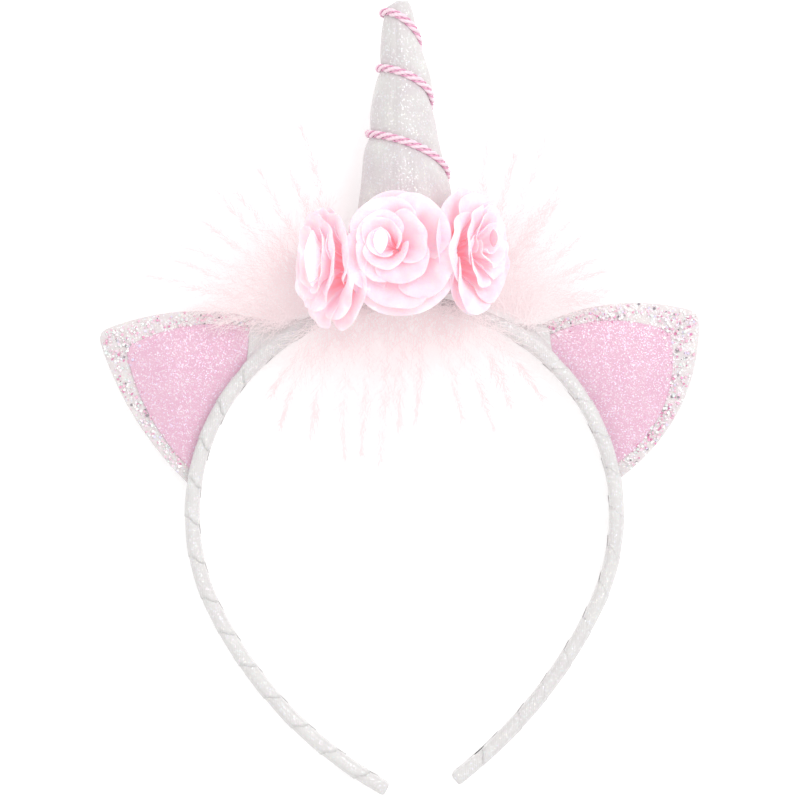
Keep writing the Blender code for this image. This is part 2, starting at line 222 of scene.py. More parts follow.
def satinMaterial(name, stops):
    # satin coloured by each petal's own painted shading: pale at its rim, deepening into painted shade in
    # its folds and pleats, and a painted highlight where the value is below 0
    # the satin glows a little in its own colours, a painted glow that lifts its shade
    material = newMaterial(name, Roughness=0.6, Sheen_Weight=0.35, Sheen_Roughness=0.4,
                           Subsurface_Weight=0.5, Subsurface_Scale=5.0 * mm, Emission_Strength=0.28)
    foldShading = addNode(material, "ShaderNodeAttribute", attribute_name="foldShading")
    cloud = cloudNode(material, 160.0, 2.0)
    patches = rangeValue(material, cloud.outputs["Fac"], 0.3, 0.7, -0.10, 0.10)
    depth = calculate(material, "ShaderNodeMath", "ADD", patches, foldShading.outputs["Fac"])
    colour = colourRamp(material, depth, stops)
    cloth = addNode(material, "ShaderNodeUVMap", uv_map="cloth")
    threads = addNode(material, "ShaderNodeTexWave", Vector=cloth.outputs["UV"], Scale=14.0,
                      Distortion=0.6, Detail=1.0)
    under = bumpOn(material, threads.outputs["Fac"], 0.15, 0.12 * mm)
    creases = cloudNode(material, 420.0, 3.0)
    setShader(material, Base_Color=colour, Emission_Color=colour,
              Normal=bumpOn(material, creases.outputs["Fac"], 0.22, 0.3 * mm, under))
    return material


def strandMaterial(name, light, dark, stripe):
    # fine fibres that run round a strand
    material = newMaterial(name, Roughness=0.5, Sheen_Weight=0.3)
    fibres = addNode(material, "ShaderNodeTexWave", Vector=objectPlace(material), Scale=1.0 / stripe / 6.0,
                     Distortion=2.0, Detail=2.0, bands_direction="DIAGONAL").outputs["Fac"]
    setShader(material, Base_Color=mixColour(material, fibres, dark, light),
              Normal=bumpOn(material, fibres, 0.5, 0.08 * mm))
    return material


def downMaterial(name, light, blush):
    # soft down, blushing a little in patches, with a painted glow that lifts the shade among its thin barbs
    material = newMaterial(name, Roughness=0.85, Sheen_Weight=0.6, Sheen_Roughness=0.6,
                           Emission_Strength=0.20, Emission_Color=(1.0, 0.88, 0.90))
    patches = cloudNode(material, 70.0, 2.0)
    share = rangeValue(material, patches.outputs["Fac"], 0.35, 0.65)
    setShader(material, Base_Color=mixColour(material, share, light, blush))
    return material


pastelTints = (
    (0.00, (0.88, 0.88, 0.89)),
    (0.30, (0.76, 0.83, 0.81)),
    (0.52, (0.83, 0.74, 0.80)),
    (0.74, (0.76, 0.76, 0.85)),
    (0.88, (0.88, 0.86, 0.78)),
)
pinkTints = (
    (0.00, (0.95, 0.86, 0.92)),
    (0.26, (0.88, 0.68, 0.79)),
    (0.60, (0.76, 0.40, 0.57)),
    (0.80, (0.80, 0.66, 0.86)),
)
hexTints = (
    (0.00, (0.97, 0.97, 0.96)),
    (0.28, (0.90, 0.54, 0.68)),
    (0.48, (0.78, 0.88, 0.84)),
    (0.60, (0.92, 0.74, 0.83)),
    (0.80, (0.76, 0.28, 0.48)),
    (0.90, (0.80, 0.74, 0.95)),
    (0.96, (0.30, 0.26, 0.30)),
)
satinShadingStops = (
    # from the painted highlight of a pale bud, through the rim and the face of the petal, to the painted
    # shade of its deepest fold
    (0.00, (0.92, 0.89, 0.91)),
    (0.12, (0.80, 0.65, 0.72)),
    (0.24, (0.78, 0.57, 0.65)),
    (0.45, (0.79, 0.51, 0.595)),
    (0.70, (0.84, 0.42, 0.50)),
    (0.95, (0.86, 0.34, 0.41)),
)

finishes = {
    "ribbon": glitterMaterial("whiteGlitterRibbon", (0.72, 0.71, 0.70), (0.68, 0.66, 0.66), pastelTints,
                              grain=0.30 * mm, share=0.20, tilt=0.35, weave=0.30 * mm),
    "horn": glitterMaterial("whiteHornFabric", (0.70, 0.69, 0.67), (0.64, 0.59, 0.61), pastelTints,
                            grain=0.34 * mm, share=0.15, tilt=0.35, weave=0.5 * mm),
    "earBack": glitterMaterial("whiteEarFabric", (0.79, 0.74, 0.73), (0.72, 0.65, 0.67), pastelTints,
                               grain=0.34 * mm, share=0.25, tilt=0.4),
    "earPanel": glitterMaterial("pinkEarFabric", (0.78, 0.50, 0.62), (0.75, 0.45, 0.59), pinkTints,
                                grain=0.27 * mm, share=0.26, tilt=0.4),
    "flecks": fleckMaterial("hexGlitter", hexTints),
    "cord": strandMaterial("pinkCordFibre", (0.96, 0.78, 0.85), (0.93, 0.68, 0.78), 0.35 * mm),
    # deep pink for the thin strands of painted shade in the cord's grooves
    "cordGrooveShade": strandMaterial("deepPinkGrooveShade", (0.86, 0.42, 0.62), (0.78, 0.32, 0.52), 0.3 * mm),
    "satin": satinMaterial("pinkSatin", satinShadingStops),
    "down": downMaterial("marabouDown", (0.81, 0.74, 0.745), (0.79, 0.69, 0.70)),
}
print("materials made")


# shared ways of making pieces

def meshFrom(bm, name):
    mesh = bpy.data.meshes.new(name)
    bm.to_mesh(mesh)
    bm.free()
    return mesh


def addObject(name, data):
    thing = bpy.data.objects.new(name, data)
    scene.collection.objects.link(thing)
    return thing


def placePiece(mesh, name, finish, node=None, smooth=60.0):
    # a finished mesh becomes a piece that rides with the headband, smooth below an angle in degrees
    mesh.materials.append(finishes[finish])
    if smooth:
        mesh.shade_smooth()
        mesh.set_sharp_from_angle(angle=radians(smooth))
    piece = addObject(name, mesh)
    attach(piece, "root")
    if node:
        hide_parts(node)
    return piece


def finishPiece(bm, name, finish, node=None, smooth=60.0):
    return placePiece(meshFrom(bm, name), name, finish, node, smooth)


def addSolidify(piece, thickness, offset=0.0):
    wall = piece.modifiers.new("wall", "SOLIDIFY")
    wall.thickness = thickness
    wall.offset = offset


def addSubdivision(piece, levels=1):
    finer = piece.modifiers.new("finer", "SUBSURF")
    finer.levels = levels
    finer.render_levels = levels


def clothGrid(acrossCount, alongCount, place):
    # a grid of cloth, each vertex put by place(u, v) with u and v from 0 to 1
    bm = bmesh.new()
    bm.loops.layers.uv.new("cloth")
    bmesh.ops.create_grid(bm, x_segments=acrossCount, y_segments=alongCount, size=0.5, calc_uvs=True)
    for vert in bm.verts:
        vert.co = place(vert.co.x + 0.5, vert.co.y + 0.5)
    return bm


def sweepLoop(stations):
    # a closed loop of points, extruded through the stations, each a list of as many points
    bm = bmesh.new()
    verts = [bm.verts.new(point) for point in stations[0]]
    edges = [bm.edges.new((a, b)) for a, b in zip(verts, verts[1:] + verts[:1])]
    bmesh.ops.edgeloop_fill(bm, edges=edges)
    for station in stations[1:]:
        grown = bmesh.ops.extrude_edge_only(bm, edges=edges)["geom"]
        fresh = [item for item in grown if isinstance(item, bmesh.types.BMVert)]
        edges = [item for item in grown if isinstance(item, bmesh.types.BMEdge)
                 and item.verts[0] in fresh and item.verts[1] in fresh]
        follow = {}
        for vert in fresh:
            for edge in vert.link_edges:
                other = edge.other_vert(vert)
                if other not in fresh:
                    follow[vert] = other
        old = {vert: i for i, vert in enumerate(verts)}
        verts = [None] * len(station)
        for vert in fresh:
            verts[old[follow[vert]]] = vert
        for vert, point in zip(verts, station):
            vert.co = point
    bmesh.ops.edgeloop_fill(bm, edges=edges)
    bmesh.ops.recalc_face_normals(bm, faces=bm.faces)
    return bm


# the band: a springy strip with ribbon wound round it

band = {
    "drop": radians(26),                      # how far the crown's arc runs on below its centre
    "legs": {"left": (118 * mm, 72.5 * mm), "right": (138 * mm, 63.6 * mm)},   # radius and length
    "width": bandHigh.z - bandLow.z,
    "thickness": 3.4 * mm,
    "corner": 1.1 * mm,
    "sides": 28,                              # points round its section
    "under": 0.35 * mm,                       # the strip's outer face, below the ribbon's
    "coreInset": 0.5 * mm,                    # how much narrower the hidden strip is than the band
    "coreStations": 150,
    "coreTip": 1.2 * mm,                      # length over which its tips are rounded
    "pitch": 11.2 * mm,                       # from one lap to the next
    "overlap": 0.34,                          # how much of a turn lies under the next, in pitches
    "ribbon": 0.14 * mm,
    "ribbonInset": 0.4 * mm,
    "ribbonAcross": 10,
    "start": 2.0 * mm,                        # from the band's tip to the first lap
    "lift": 0.20 * mm,                        # how far a lap's upper edge stands proud
    "crease": 0.07 * mm,
    "slack": 0.8 * mm,                        # how unevenly the laps follow one another
    "slant": 2.6 * mm,                        # how much more a seam leans across the front and the back
}
band["middle"] = crown["outside"] - band["under"] - band["thickness"] / 2
tipWrap = {
    # the ribbon's folded end, a close sleeve over the band's tip
    "reach": {"left": 11.0 * mm, "right": 9.0 * mm},
    "section": (band["thickness"] + 0.5 * mm, band["width"] - 0.1 * mm, band["corner"] + 0.2 * mm, 32),
    "stations": 26,
    "beyond": 0.3 * mm,                       # how far it passes the band's tip
    "rounding": 1.6 * mm,
    "tuck": 0.9 * mm,                         # how far its end is drawn in
    "crease": 0.12 * mm,
    "slant": 1.8 * mm,
}


def legArc(side, end, way):
    # a leg's arc carries on from the crown's at the angle end: its centre, radius, and the angle at its tip
    radius, length = band["legs"][side]
    centre = (band["middle"] - radius) * Vector((cos(end), sin(end), 0))
    return centre, radius, end + way * length / radius


def bandArcs():
    # from the left tip to the right one, each arc with its centre, radius, first angle and last angle
    leftEnd = pi + band["drop"]
    rightEnd = -band["drop"]
    leftCentre, leftRadius, leftTip = legArc("left", leftEnd, 1)
    rightCentre, rightRadius, rightTip = legArc("right", rightEnd, -1)
    return [(leftCentre, leftRadius, leftTip, leftEnd),
            (Vector((0, 0, 0)), band["middle"], leftEnd, rightEnd),
            (rightCentre, rightRadius, rightEnd, rightTip)]


bandRoute = bandArcs()
bandLength = sum(radius * (start - end) for _, radius, start, end in bandRoute)


def bandStation(along):
    # place on the band's middle line at a length from its left tip, and the way out from the head
    rest = along
    for i, (centre, radius, start, end) in enumerate(bandRoute):
        length = radius * (start - end)
        if rest <= length or i == len(bandRoute) - 1:
            angle = start - rest / radius
            outward = Vector((cos(angle), sin(angle), 0))
            return crownPlace + centre + radius * outward, outward
        rest -= length


def roundedSection(width, height, corner, count):
    # points round a rounded rectangle, evenly by length: each (across, up) from its middle, and the way out
    straightW = width / 2 - corner
    straightH = height / 2 - corner
    total = 4 * (straightW + straightH) + 2 * pi * corner
    sides = (
        # way out, way on, distance of the side from the middle, half the side's straight part
        (Vector((1, 0)), Vector((0, 1)), width / 2, straightH),
        (Vector((0, 1)), Vector((-1, 0)), height / 2, straightW),
        (Vector((-1, 0)), Vector((0, -1)), width / 2, straightH),
        (Vector((0, -1)), Vector((1, 0)), height / 2, straightW),
    )
    points = []
    for i in range(count):
        rest = total * i / count
        for out, onward, reach, half in sides:
            if rest <= 2 * half:
                points.append((out * reach + onward * (rest - half), out))
                break
            rest -= 2 * half
            if rest <= pi / 2 * corner:
                angle = rest / corner
                way = out * cos(angle) + onward * sin(angle)
                points.append((out * (reach - corner) + onward * half + way * corner, way))
                break
            rest -= pi / 2 * corner
    return points


def onBand(along, around, out):
    # a point on the band's surface: around is the (point, way out) of its section
    flat, way = around
    middle, outward = bandStation(min(max(along, 0.0), bandLength))
    spot = flat + way * out
    return middle + outward * spot.x + Vector((0, 0, band["width"] / 2 + spot.y))


def makeBandCore():
    section = roundedSection(band["thickness"], band["width"] - band["coreInset"], band["corner"],
                             band["sides"])
    stations = []
    for i in range(band["coreStations"] + 1):
        along = bandLength * i / band["coreStations"]
        fromTip = min(along, bandLength - along)
        pull = -0.5 * mm * max(0.0, 1 - fromTip / band["coreTip"]) ** 2
        stations.append([onBand(along, around, pull) for around in section])
    finishPiece(sweepLoop(stations), "band_core", "ribbon")


def makeRibbon():
    # the wound ribbon: a long grid laid round the band, each turn over the last
    section = roundedSection(band["thickness"], band["width"] - band["ribbonInset"], band["corner"],
                             band["sides"])[::-1]
    turnSteps = len(section)
    spread = band["pitch"] * (1 + band["overlap"])
    turns = (bandLength - 2 * band["start"] - spread) / band["pitch"]
    steps = int(turns * turnSteps)

    def place(u, v):
        step = round(v * steps)
        around = section[step % turnSteps]
        along = band["start"] + band["pitch"] * step / turnSteps + spread * u
        along += band["slant"] * around[0].x / band["thickness"] * around[1].y
        turn = step / turnSteps
        # the trailing edge lies on the turn before it, the leading edge under the next
        rise = band["ribbon"] + band["lift"] * (1 - u) ** 2
        rise += band["crease"] * noise.noise(Vector((turn * 2.3, u * 1.1, 0)) * 2.2) * (0.4 + u)
        rise += band["crease"] * 0.6 * unevenness(turn * 9.0, u * 0.7, 3.0)
        slack = band["slack"] * unevenness(turn * 0.55, 8.0, u * 0.4)
        return onBand(along + slack, around, rise)

    bm = clothGrid(band["ribbonAcross"], steps, place)
    bmesh.ops.recalc_face_normals(bm, faces=bm.faces)
    piece = finishPiece(bm, "band_ribbon", "ribbon", "band", smooth=75.0)
    addSolidify(piece, band["ribbon"], -1.0)


def makeTipWrap(side):
    section = roundedSection(*tipWrap["section"])
    reach = tipWrap["reach"][side]
    stations = []
    for i in range(tipWrap["stations"] + 1):
        share = i / tipWrap["stations"]
        ease = max(0.0, 1 - share * reach / tipWrap["rounding"])
        pull = -tipWrap["tuck"] * (1 - (1 - ease * ease) ** 0.5)
        ring = []
        for k, around in enumerate(section):
            crease = tipWrap["crease"] * unevenness(k / 5.0, share * 3.0, 4.0 if side == "left" else 9.0)
            slant = tipWrap["slant"] * share * (around[0].y / band["width"])
            spot = reach * share - tipWrap["beyond"] + slant
            spot = spot if side == "left" else bandLength - spot
            ring.append(onBand(spot, around, pull + crease))
        stations.append(ring)
    finishPiece(sweepLoop(stations), "ribbon_end_" + side, "ribbon")


makeBandCore()
makeRibbon()
for side in ("left", "right"):
    makeTipWrap(side)
print("band wound")


# the ears: a white sheet, a pink panel and a border of loose flecks

ears = {
    # angles round the crown in degrees, and sizes in millimetres
    "left": {"top": 121.0, "side": 172.0, "tip": 149.3, "height": 39.6, "topBow": 5.4, "sideBow": 3.4},
    "right": {"top": 56.5, "side": 9.5, "tip": 34.5, "height": 39.7, "topBow": 5.2, "sideBow": 6.9},
}
earMake = {
    "rim": {"left": 4.2 * mm, "right": 4.3 * mm},
    "tipCut": 3.4 * mm,
    "base": crown["outside"] - 0.3 * mm,
    "edgePoints": 18,                         # along each free edge, round the tip and along the base
    "tipPoints": 7,
    "basePoints": 20,
    "rounding": 0.28,                         # of a sheet's edges, as a share of its thickness
    "panelStep": 0.35 * mm,                   # how far the white sheet reaches up behind the pink
}
flecks = {
    "count": {"left": 640, "right": 820},
    "size": 0.50 * mm,
    "thickness": 0.11 * mm,
    "taper": 0.92,                            # size of a fleck's top, as a share of its foot
    "clusters": 2.6,                          # how strongly flecks of one tint gather, 0 for evenly
    "inset": 0.3 * mm,                        # from the ear's outline
    "spread": 1.35,                           # how far in they lie, in rims
    "sink": 0.25 * mm,                        # height of the lowest above the rim's foot
    "tilt": 0.25,
}
gussets = {
    # the ribbon that covers the ear's upper corner: angle round the crown, reach out from the band in mm
    "left": ((116.0, -1.2), (118.5, 0.6), (121.0, 2.6), (125.0, 4.9), (128.3, 7.4), (130.5, 5.6),
             (133.0, 2.7), (136.5, -0.3), (139.0, -1.2)),
    "right": ((62.0, -1.2), (59.5, 0.5), (57.0, 2.2), (54.6, 4.0), (52.6, 4.6), (51.0, 3.4),
              (49.0, 1.2), (47.0, -0.2), (45.0, -1.2)),
}
gussetCloth = 0.18 * mm


def bowed(start, end, bow, count):
    way = end - start
    aside = Vector((-way.y, way.x, 0)).normalized()
    return [start + way * t + aside * (bow * 4 * t * (1 - t)) for t in np.linspace(0, 1, count + 1)]


def earEdges(side, inset):
    # the two free edges as one line, from the top of the base round the tip to the side
    ear = ears[side]
    base = earMake["base"]
    turn = -1.0 if side == "right" else 1.0
    step = degrees(turn * inset / base)
    top = onCrown(base, ear["top"] + step)
    low = onCrown(base, ear["side"] - step)
    tip = onCrown(base + ear["height"] * mm, ear["tip"])
    opening = (top - tip).angle(low - tip) / 2
    middle = ((top - tip).normalized() + (low - tip).normalized()).normalized()
    tip = tip + middle * (inset / sin(opening))
    shrink = 1.0 - inset / (ear["height"] * mm)
    upper = bowed(top, tip, -turn * ear["topBow"] * mm * shrink, earMake["edgePoints"])
    lower = bowed(tip, low, -turn * ear["sideBow"] * mm * shrink, earMake["edgePoints"])
    cut = earMake["tipCut"] * shrink
    upper = [point for point in upper if (point - tip).length > cut]
    lower = [point for point in lower if (point - tip).length > cut]
    start = tip + (upper[-1] - tip).normalized() * cut
    end = tip + (lower[0] - tip).normalized() * cut
    shares = np.linspace(0, 1, earMake["tipPoints"])
    rounding = [start * (1 - t) ** 2 + tip * 2 * t * (1 - t) + end * t * t for t in shares]
    return upper + rounding + lower


def earOutline(side, inset):
    edge = earEdges(side, inset)
    start = atan2(edge[-1].y - crown["y"], edge[-1].x - crown["x"])
    end = atan2(edge[0].y - crown["y"], edge[0].x - crown["x"])
    shares = np.linspace(0, 1, earMake["basePoints"])[1:-1]
    return edge + [onCrown(earMake["base"], degrees(start + (end - start) * t)) for t in shares]


def makeSheet(name, outline, bottom, top, finish, node):
    # a sheet cut to an outline, its edges rounded
    bm = bmesh.new()
    face = bm.faces.new([bm.verts.new((p.x, p.y, bottom)) for p in outline])
    raised = bmesh.ops.extrude_face_region(bm, geom=[face])["geom"]
    bmesh.ops.translate(bm, verts=[v for v in raised if isinstance(v, bmesh.types.BMVert)],
                        vec=(0, 0, top - bottom))
    bmesh.ops.recalc_face_normals(bm, faces=bm.faces)
    rim = [e for e in bm.edges if e.calc_face_angle(0.0) > 1.0]
    bmesh.ops.bevel(bm, geom=rim, offset=(top - bottom) * earMake["rounding"], offset_type="OFFSET",
                    segments=2, profile=0.5, affect="EDGES", material=-1, clamp_overlap=True)
    bmesh.ops.triangulate(bm, faces=[f for f in bm.faces if len(f.verts) > 4])
    finishPiece(bm, name, finish, node, smooth=50.0)


def fleckMesh(name, places, normals, sizes, tints, seed):
    # many thin six-sided flecks as one mesh, each with its own number for its tint
    rng = np.random.default_rng(seed)
    count = len(places)
    turns = rng.uniform(0, 2 * pi, count)
    base = np.cross(normals, rng.normal(size=(count, 3)))
    base /= np.linalg.norm(base, axis=1)[:, None]
    other = np.cross(normals, base)
    corners = []
    for grow, level in ((1.0, 0.0), (flecks["taper"], flecks["thickness"])):
        for k in range(6):
            angle = turns + k * pi / 3
            ring = base * np.cos(angle)[:, None] + other * np.sin(angle)[:, None]
            corners.append(places + ring * (sizes * grow)[:, None] + normals * level)
    verts = np.stack(corners, 1).reshape(-1, 3)
    faces = []
    for i in range(count):
        first = i * 12
        faces.append([first + k for k in (5, 4, 3, 2, 1, 0)])
        faces.append([first + 6 + k for k in range(6)])
        faces += [[first + k, first + (k + 1) % 6, first + 6 + (k + 1) % 6, first + 6 + k] for k in range(6)]
    mesh = bpy.data.meshes.new(name)
    mesh.from_pydata(verts.tolist(), [], faces)
    own = mesh.attributes.new("fleck", "FLOAT", "POINT")
    own.data.foreach_set("value", np.repeat(tints, 12).astype(np.float32))
    return mesh


def alongLine(line, share):
    place = share * (len(line) - 1)
    i = min(int(place), len(line) - 2)
    return line[i].lerp(line[i + 1], place - i)


def makeFlecks(side, seed):
    # flecks lie along the rim, a few on the pink, and gather by their tint
    low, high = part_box("ear_rim_" + side)
    rng = np.random.default_rng(seed)
    outer = earEdges(side, flecks["inset"])
    inner = earEdges(side, earMake["rim"][side] * flecks["spread"])
    places, tints = [], []
    for _ in range(flecks["count"][side]):
        depth = rng.beta(1.4, 1.9)
        share = rng.uniform(0.05, 0.98)
        spot = alongLine(outer, share).lerp(alongLine(inner, share), depth)
        drift = unevenness(share * 24.0, depth * 1.5, seed)
        tints.append((rng.uniform(0, 1) + drift * flecks["clusters"] / 10) % 1.0)
        spot.z = low.z + flecks["sink"] + rng.uniform(0, 1) ** 2 * (high.z - low.z) * 0.7
        places.append(tuple(spot))
    normals = rng.normal(0, flecks["tilt"], (len(places), 3)) + np.array((0, 0, 1.0))
    normals /= np.linalg.norm(normals, axis=1)[:, None]
    sizes = rng.uniform(0.45, 1.0, len(places)) ** 1.5 * flecks["size"]
    name = "ear_flecks_" + side
    mesh = fleckMesh(name, np.array(places), normals, sizes, tints, seed)
    placePiece(mesh, name, "flecks", "ear_rim_" + side, smooth=0)


def makeEar(side, seed):
    backLow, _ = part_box("ear_back_" + side)
    panelLow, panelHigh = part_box("ear_panel_" + side)
    makeSheet("ear_sheet_" + side, earOutline(side, 0.0), backLow.z, panelLow.z + earMake["panelStep"],
              "earBack", "ear_back_" + side)
    makeSheet("ear_pink_" + side, earOutline(side, earMake["rim"][side]), panelLow.z, panelHigh.z,
              "earPanel", "ear_panel_" + side)
    makeFlecks(side, seed)


def makeGusset(side):
    # ribbon that runs from the band's inner edge over its front, out on the ear and back behind it
    rows = sorted(gussets[side])
    backLow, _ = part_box("ear_back_" + side)
    _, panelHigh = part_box("ear_panel_" + side)
    first, last = rows[0][0], rows[-1][0]
    inner = crown["outside"] - band["thickness"] - band["under"]
    outer = crown["outside"]
    middle = (backLow.z + panelHigh.z) / 2

    def place(u, v):
        # ahead runs from 0 at the sleeve's far edge to 1 at the band's inner side, in front and behind
        angle = first + (last - first) * v
        reach = blendValue(rows, angle, 1) * mm
        ahead = abs(2 * u - 1)
        front = u > 0.5
        sink = 0.4 * mm * max(0.0, 1 - min(v, 1 - v) * 9) ** 2
        foot = panelHigh.z + 0.35 * mm if front else backLow.z - 0.35 * mm
        crest = band["width"] + 0.15 * mm - sink if front else 0.02 * mm + sink
        path = (
            # share of the way, radius, height
            (0.00, outer + reach, middle),
            (0.06, outer + reach - 0.05 * mm, foot),
            (0.45, outer + max(reach, 0.0) * 0.35 - sink, foot + (crest - foot) * 0.22),
            (0.62, outer + 0.15 * mm - sink, foot + (crest - foot) * 0.80),
            (0.72, outer - 0.7 * mm, crest),
            (0.86, inner + 0.7 * mm, crest),
            (0.94, inner - 0.1 * mm + sink, crest - (crest - middle) * 0.12),
            (1.00, inner - 0.1 * mm + sink, crest - (crest - middle) * 0.45),
        )
        level = blendValue(path, ahead, 2)
        crease = unevenness(v * 7.0, u * 2.0, first) * 0.3 * mm
        level += crease * (1 if front else -1) * min(ahead * 3, 1.0) * min((1 - ahead) * 3, 1.0)
        spot = onCrown(blendValue(path, ahead, 1), angle)
        return Vector((spot.x, spot.y, min(max(level, 0.02 * mm), band["width"] + 0.3 * mm)))

    piece = finishPiece(clothGrid(44, 40, place), "ribbon_gusset_" + side, "ribbon", smooth=75.0)
    addSolidify(piece, gussetCloth)
    addSubdivision(piece)


for side, seed in (("left", 11), ("right", 12)):
    makeEar(side, seed)
    makeGusset(side)
print("ears made")


# the horn: a stuffed cone of glitter fabric, drawn in by the cord

hornLow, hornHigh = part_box("horn")
horn = {
    "foot": hornLow.y,
    "height": hornHigh.y - hornLow.y,
    "radius": (hornHigh.z - hornLow.z) / 2,
    "level": (hornHigh.z + hornLow.z) / 2,
    "rows": (
        # share of the height, share of the radius, sideways shift as a share of the radius
        (0.00, 1.00, -0.03),
        (0.20, 0.95, -0.02),
        (0.37, 0.86, 0.01),
        (0.50, 0.73, -0.03),
        (0.62, 0.61, -0.05),
        (0.72, 0.54, -0.02),
        (0.82, 0.42, -0.06),
        (0.93, 0.31, -0.11),
        (0.98, 0.255, -0.13),
        (1.00, 0.20, -0.13),
    ),
    "around": 72,
    "up": 170,
    "cinch": 1.0 * mm,                       # how deep the cord pulls the cloth in
    "cinchWidth": 3.0 * mm,
    "pleat": 0.42 * mm,
    "dent": 0.30 * mm,
    "tipStart": 0.955,                       # share of the height where the folded tip starts
    "tipFlat": 0.45,                         # how much thinner it gets from front to back
    "tipSlant": 0.26,                        # the folded tip is higher on its right
    "tipDrop": 0.9 * mm,
    "lip": 0.55 * mm,                        # height of the rounded lip that closes it
}
cord = {
    # turns are counted from where the cord first passes the horn's front
    "start": -0.40,
    "end": 2.40,
    "front": 42.9 * mm,                      # height of that first pass above the horn's foot
    "pitch": 20.6 * mm,
    "tightening": 1.4 * mm,
    "arch": 2.8 * mm,                        # how far each pass rises at the front
    "ease": 0.25,
    "level": 0.70 * mm,                      # height of its middle above the cloth
    "across": 0.60 * mm,                     # how far the strands swing to either side
    "depth": 0.36 * mm,
    "strand": 0.56 * mm,                     # radius of one strand
    "grooveShade": 0.20 * mm,                     # radius of the thin deep pink strands of painted shade in the grooves between them
    "grooveShadeSwing": 1.45,                     # how much further out than the strands the painted shade in the grooves runs
    "twist": 7.4 * mm,                       # length of one whole twist
    "steps": 900,
    "sides": 8,                              # points round one strand
    "endSteps": 12,                          # steps over which a strand's end tapers
}


def cordAngle(turn):
    return 2 * pi * (turn + 0.25)


def cordHeight(turn):
    rise = cord["pitch"] * turn - cord["tightening"] * turn ** 2
    return cord["front"] + rise - cord["arch"] * (1 - sin(cordAngle(turn)))


def nearestCord(height, angle):
    # how far below or above its nearest pass, and how firmly the cord sits there
    nearest, firm = 1.0, 0.0
    turn = (angle / (2 * pi)) % 1.0 - 1.25
    while turn < cord["end"]:
        away = height - cordHeight(turn)
        if turn > cord["start"] and abs(away) < abs(nearest):
            nearest = away
            firm = min((turn - cord["start"]) / cord["ease"], (cord["end"] - turn) / cord["ease"], 1.0)
        turn += 1.0
    return nearest, firm


def hornAxis(height):
    shift = blendValue(horn["rows"], height / horn["height"], 2) * horn["radius"]
    return Vector((crown["x"] + shift, horn["foot"] + height, horn["level"]))


def hornRadius(height, angle, detail=True):
    full = horn["radius"] * blendValue(horn["rows"], height / horn["height"], 1)
    away, firm = nearestCord(height, angle)
    bite = exp(-(away / horn["cinchWidth"]) ** 2) * firm
    radius = full - horn["cinch"] * bite * min(full / horn["radius"] * 2, 1.0)
    if detail:
        soft = min(full / horn["radius"] * 1.4, 1.0) * (1 - 0.8 * bite)
        way = Vector((cos(angle), 0, sin(angle)))
        radius += horn["dent"] * soft * noise.noise(way * 2.2 + Vector((0, height / (9 * mm), 0)))
        # long soft pleats run up the cloth between the passes of the cord
        pleats = noise.noise(way * 5.5 + Vector((3.0, height / (17 * mm), 0)))
        radius += horn["pleat"] * soft * (pleats - 0.15)
    return radius


def hornPoint(height, angle, out=0.0, detail=True):
    radius = hornRadius(height, angle, detail) + out
    return hornAxis(height) + Vector((radius * cos(angle), 0, radius * sin(angle)))


def makeHorn():
    stations = []
    for i in range(horn["up"] + 1):
        height = horn["height"] * i / horn["up"]
        middle = hornAxis(height)
        tip = max(0.0, (i / horn["up"] - horn["tipStart"]) / (1 - horn["tipStart"]))
        ring = []
        for k in range(horn["around"]):
            point = hornPoint(height, 2 * pi * k / horn["around"])
            # the tip is folded flat: thinner from front to back, and cut on a slant
            point.z = middle.z + (point.z - middle.z) * (1 - horn["tipFlat"] * tip)
            point.y += (point.x - middle.x) * horn["tipSlant"] * tip - tip * horn["tipDrop"]
            ring.append(point)
        stations.append(ring)
    top = stations[-1]
    for step in (0.8, 0.5, 0.2):
        middle = sum(stations[-1], Vector()) / horn["around"]
        rise = Vector((0, horn["lip"] * (1 - step) ** 0.5, 0))
        stations.append([middle + (point - middle) * step + rise for point in top])
    piece = finishPiece(sweepLoop(stations), "horn_cone", "horn", "horn", smooth=80.0)


def cordRoute():
    # places on the cord's middle line, each with the way out from the horn
    places = []
    for i in range(cord["steps"] + 1):
        turn = cord["start"] + (cord["end"] - cord["start"]) * i / cord["steps"]
        angle = cordAngle(turn)
        places.append((hornPoint(cordHeight(turn), angle, cord["level"], False),
                       Vector((cos(angle), 0, sin(angle)))))
    return places


def makeStrand(name, phase, radius, swing, finish, node=None):
    # one strand, twisted round the cord's middle line
    stations = []
    travelled = 0.0
    route = cordRoute()
    for i, (middle, outward) in enumerate(route):
        before = route[max(i - 1, 0)][0]
        after = route[min(i + 1, cord["steps"])][0]
        travelled += (middle - before).length
        aside = (after - before).cross(outward).normalized()
        turn = 2 * pi * travelled / cord["twist"] + phase
        ease = min(1.0, min(i, cord["steps"] - i) / cord["endSteps"] + 0.25)
        away = aside * (cord["across"] * cos(turn)) + outward * (cord["depth"] * sin(turn))
        centre = middle + away * swing
        ring = []
        for k in range(cord["sides"]):
            around = 2 * pi * k / cord["sides"]
            ring.append(centre + (aside * cos(around) + outward * sin(around)) * (radius * ease))
        stations.append(ring)
    finishPiece(sweepLoop(stations), name, finish, node, smooth=70.0)


makeHorn()
makeStrand("cord_strand_one", 0.0, cord["strand"], 1.0, "cord", "horn_cord")
makeStrand("cord_strand_two", pi, cord["strand"], 1.0, "cord")
# two thin deep pink strands lie in the grooves between the pale ones, as painted shade
makeStrand("cord_groove_shade_one", pi / 2, cord["grooveShade"], cord["grooveShadeSwing"], "cordGrooveShade")
makeStrand("cord_groove_shade_two", -pi / 2, cord["grooveShade"], cord["grooveShadeSwing"], "cordGrooveShade")
print("horn wound with its cord")


# the roses: rolled and lapped petals of satin

